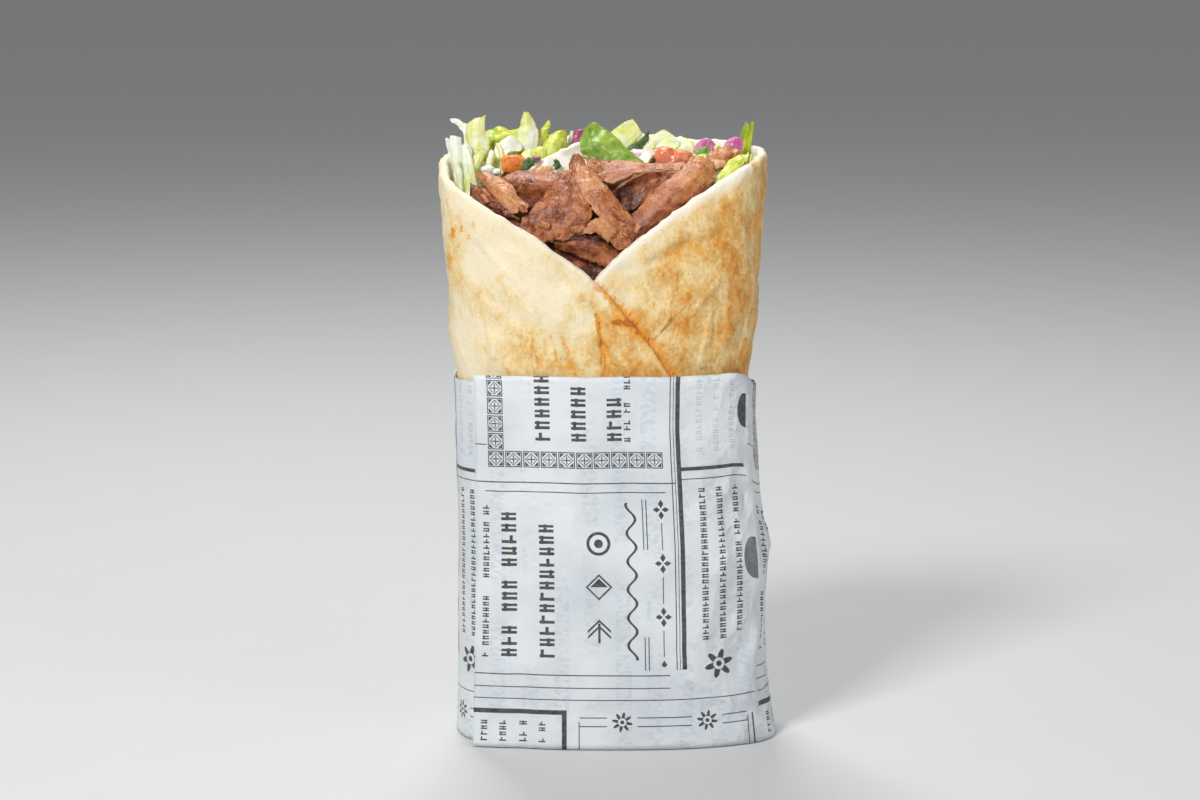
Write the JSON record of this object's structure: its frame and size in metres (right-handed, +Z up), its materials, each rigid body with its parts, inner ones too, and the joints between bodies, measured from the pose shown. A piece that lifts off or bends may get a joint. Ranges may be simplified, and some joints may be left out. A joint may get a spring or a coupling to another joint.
{
  "type": "durum kebab",
  "caption": "Rolled flatbread wrap filled with sliced kebab meat, lettuce, tomato and red onion, standing upright in a folded paper case.",
  "frame": {"origin": "centre of the flat paper bottom that the wrap stands on, at the bottom of the box", "axes": "+Z up along the wrap to its open end, -Y the front where the two flaps of bread cross in a V, +X to the right as the front is seen"},
  "size_m": [0.1001, 0.0572, 0.1841],
  "materials": {
    "bread": "thin wheat flatbread, dull, cream to golden with toasted spots",
    "paper": "white greaseproof paper with a sparse dark line print",
    "meat": "shaved roast meat, brown, fibrous and shiny with fat",
    "lettuce": "moist iceberg lettuce, yellow green to white",
    "leaf": "moist green lettuce leaf with paler veins",
    "tomato": "wet diced tomato, orange red",
    "onion": "moist red onion, pink to purple",
    "herb": "chopped parsley and green pepper, dark green"
  },
  "bodies": {
    "root": {"flatbread": "bread", "paper_wrapper": "paper", "meat": "meat", "meat_piece": "meat", "lettuce_left": "lettuce", "lettuce_right": "lettuce", "green_leaf": "leaf", "tomato_left": "tomato", "tomato_right": "tomato", "onion_back": "onion", "onion_left": "onion", "onion_middle": "onion", "onion_right": "onion", "onion_corner": "onion", "herb_left": "herb", "herb_middle": "herb", "herb_small": "herb", "pepper_bit": "herb"}
  },
  "joints": []
}
